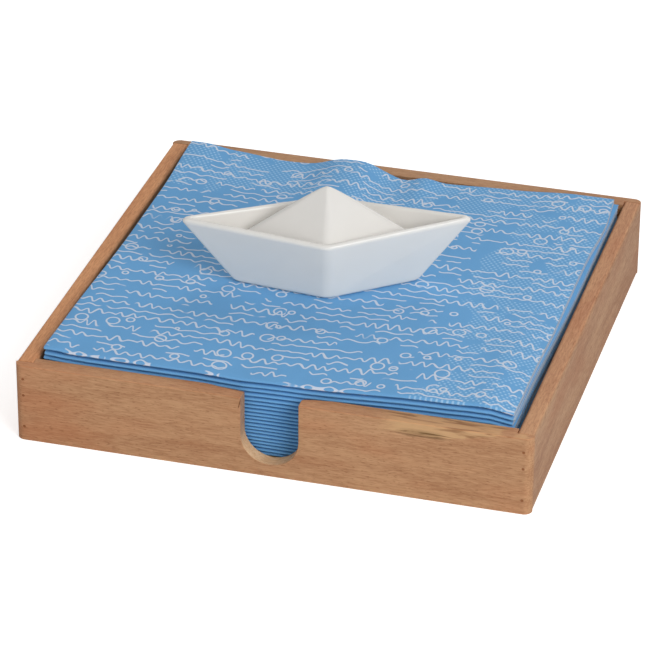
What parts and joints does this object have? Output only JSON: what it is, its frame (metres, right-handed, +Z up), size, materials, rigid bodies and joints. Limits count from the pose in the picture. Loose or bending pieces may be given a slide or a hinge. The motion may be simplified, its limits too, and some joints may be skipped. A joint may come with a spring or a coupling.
{
  "type": "napkin tray",
  "caption": "Open square wooden tray with a finger notch, holding a pile of folded paper napkins under a porcelain weight shaped like a folded boat.",
  "frame": {"origin": "centre of the tray's underside, on the surface it stands on", "axes": "+Z up; the rail with the finger notch faces -Y; +X to the right seen from the front"},
  "size_m": [0.186, 0.186, 0.0718],
  "materials": {
    "wood": "satin",
    "plywood": "matte",
    "brads": "satin",
    "napkins": "matte",
    "porcelain": "gloss"
  },
  "bodies": {
    "tray": {"rail_front": "wood", "rail_back": "wood", "rail_left": "wood", "rail_right": "wood", "base_panel": "plywood", "corner_brads": "brads", "panel_pins": "brads"},
    "pile": {"napkin_01": "napkins", "napkin_02": "napkins", "napkin_03": "napkins", "napkin_04": "napkins", "napkin_05": "napkins", "napkin_06": "napkins", "napkin_07": "napkins", "napkin_08": "napkins", "napkin_09": "napkins", "napkin_10": "napkins", "napkin_11": "napkins", "napkin_12": "napkins", "napkin_13": "napkins", "napkin_14": "napkins", "napkin_15": "napkins", "napkin_16": "napkins", "napkin_17": "napkins", "napkin_18": "napkins", "napkin_19": "napkins"},
    "top_napkin": {"top_napkin": "napkins"},
    "boat": {"boat_weight": "porcelain"}
  },
  "joints": [
    {"name": "pile_lift", "type": "slide", "parent": "tray", "child": "pile", "axis": [0, 0, 1], "range_m": [0, 0.04]},
    {"name": "top_napkin_lift", "type": "slide", "parent": "pile", "child": "top_napkin", "axis": [0, 0, 1], "range_m": [0, 0.03]},
    {"name": "boat_lift", "type": "slide", "parent": "top_napkin", "child": "boat", "axis": [0, 0, 1], "range_m": [0, 0.05]}
  ]
}
